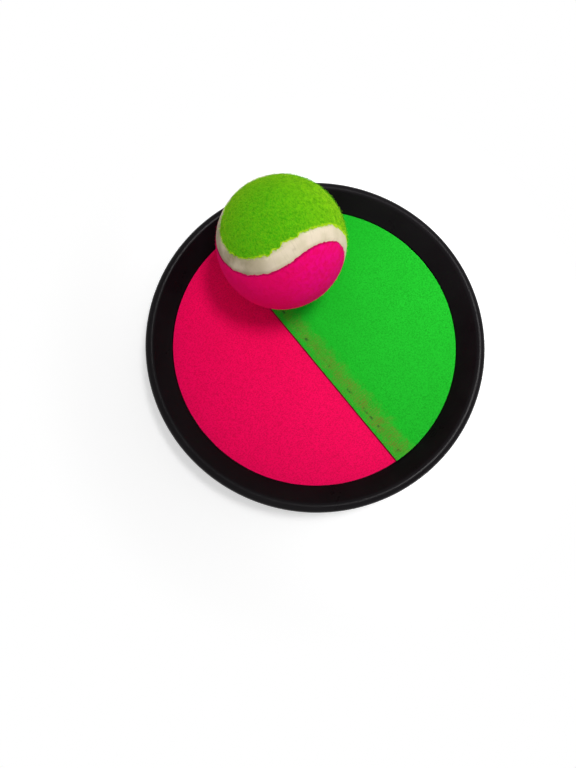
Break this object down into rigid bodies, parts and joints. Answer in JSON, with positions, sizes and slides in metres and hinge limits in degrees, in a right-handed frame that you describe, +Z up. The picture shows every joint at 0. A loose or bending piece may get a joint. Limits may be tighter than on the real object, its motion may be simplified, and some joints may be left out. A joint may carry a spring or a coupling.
{
  "type": "hook and loop catch paddle",
  "caption": "Round black catch paddle with a recessed pink and green hook face, a rear hand strap and a felt-covered ball that sticks to the face and pulls off.",
  "frame": {"origin": "middle of the plane that the foot ring rests on, on the dish's axis", "axes": "+Z up out of the catch face, +X along the hand strap towards the green sheet, +Y along the line where the sheets overlap"},
  "size_m": [0.18, 0.18, 0.0831],
  "materials": {
    "shell_plastic": "semi-gloss moulded black",
    "backing_plastic": "plain black",
    "pink_hook_fabric": "dense nylon hooks",
    "green_hook_fabric": "dense nylon hooks",
    "strap_webbing": "woven nylon",
    "strap_patch": "hook and loop tape",
    "core_rubber": "matt moulded",
    "green_felt": "napped felt",
    "pink_felt": "napped felt",
    "seam_compound": "matt cream"
  },
  "bodies": {
    "paddle": {"paddle_shell": "shell_plastic", "backing_disc": "backing_plastic", "hook_sheet_pink": "pink_hook_fabric", "hook_sheet_green": "green_hook_fabric", "strap_band": "strap_webbing", "strap_loop_patch": "strap_patch"},
    "ball": {"ball_core_upper": "core_rubber", "ball_core_lower": "core_rubber", "ball_felt_green": "green_felt", "ball_felt_pink": "pink_felt", "ball_seam": "seam_compound"},
    "strap_tail": {"strap_tail": "strap_webbing", "strap_hook_patch": "strap_patch"}
  },
  "joints": [
    {"name": "ball_lift", "type": "slide", "parent": "paddle", "child": "ball", "axis": [0, 0, 1], "range_m": [0, 0.12]},
    {"name": "strap_tail_peel", "type": "hinge", "parent": "paddle", "child": "strap_tail", "pos_m": [0.052, 0, 0.0106], "axis": [0, -1, 0], "range_deg": [0, 100]}
  ]
}
